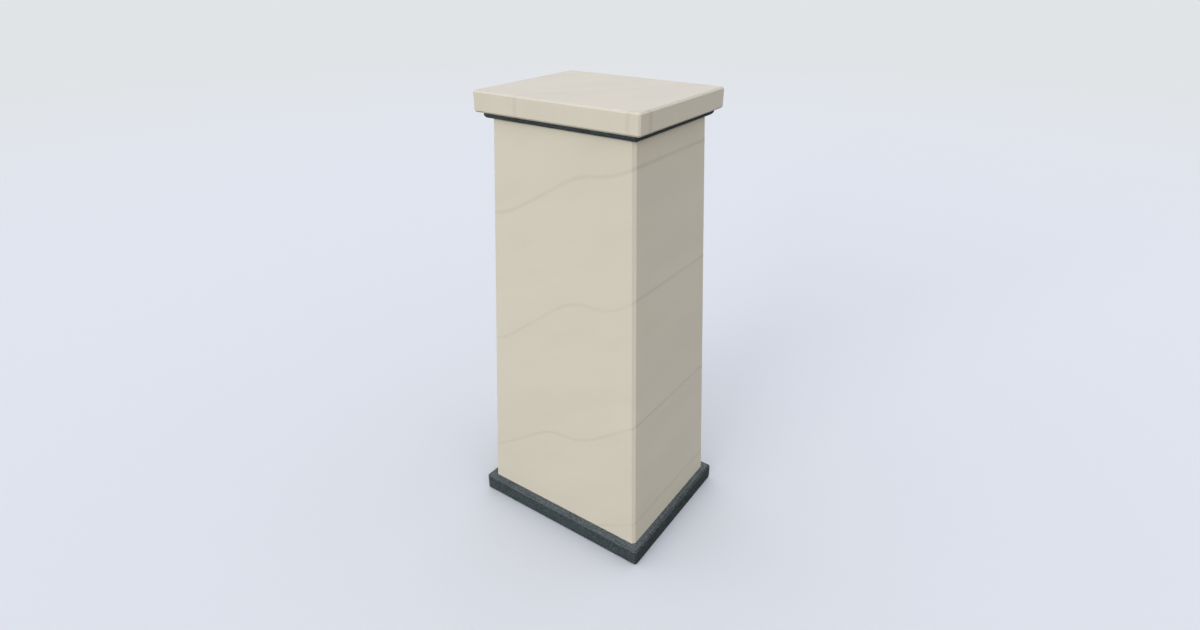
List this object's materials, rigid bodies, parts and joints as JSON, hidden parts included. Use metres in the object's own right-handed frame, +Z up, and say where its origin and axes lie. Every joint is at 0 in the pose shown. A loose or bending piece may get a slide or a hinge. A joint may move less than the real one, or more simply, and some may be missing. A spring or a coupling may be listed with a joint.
{
  "type": "pedestal column stand",
  "caption": "Free-standing rectangular pedestal: a tapering pale stone shaft on a dark slate base plate, under a thin slate collar and an overhanging stone cap slab.",
  "frame": {"origin": "on the floor, under the middle of the base plate", "axes": "+Z up; +X along the wider faces, towards the right side; -Y is the front"},
  "size_m": [0.41, 0.33, 0.9],
  "materials": {
    "shaft_stone": "honed pale sandstone with faint brown bedding lines",
    "cap_stone": "honed pale sandstone, bedding on edge",
    "slate": "honed dark blue-grey slate",
    "plywood": "unfinished birch plywood",
    "timber": "planed softwood",
    "plated_steel": "zinc plated",
    "bright_steel": "plain stainless",
    "pad_rubber": "matt black rubber"
  },
  "bodies": {
    "root": {"base_plate": "slate", "collar_plate": "slate", "shaft_panel_front": "shaft_stone", "shaft_panel_right": "shaft_stone", "shaft_panel_back": "shaft_stone", "shaft_panel_left": "shaft_stone", "cap_slab": "cap_stone", "bottom_deck": "plywood", "mid_brace": "plywood", "top_deck": "plywood", "core_board_front": "plywood", "core_board_right": "plywood", "core_board_back": "plywood", "core_board_left": "plywood", "corner_batten_front_left": "timber", "corner_batten_front_right": "timber", "corner_batten_back_right": "timber", "corner_batten_back_left": "timber", "batten_screws": "plated_steel", "deck_screws": "plated_steel", "base_bolts": "plated_steel", "base_washers": "plated_steel", "insert_nuts": "plated_steel", "collar_screws": "plated_steel", "cap_dowels": "bright_steel", "foot_pad_front_left": "pad_rubber", "foot_pad_front_right": "pad_rubber", "foot_pad_back_right": "pad_rubber", "foot_pad_back_left": "pad_rubber"}
  },
  "joints": []
}
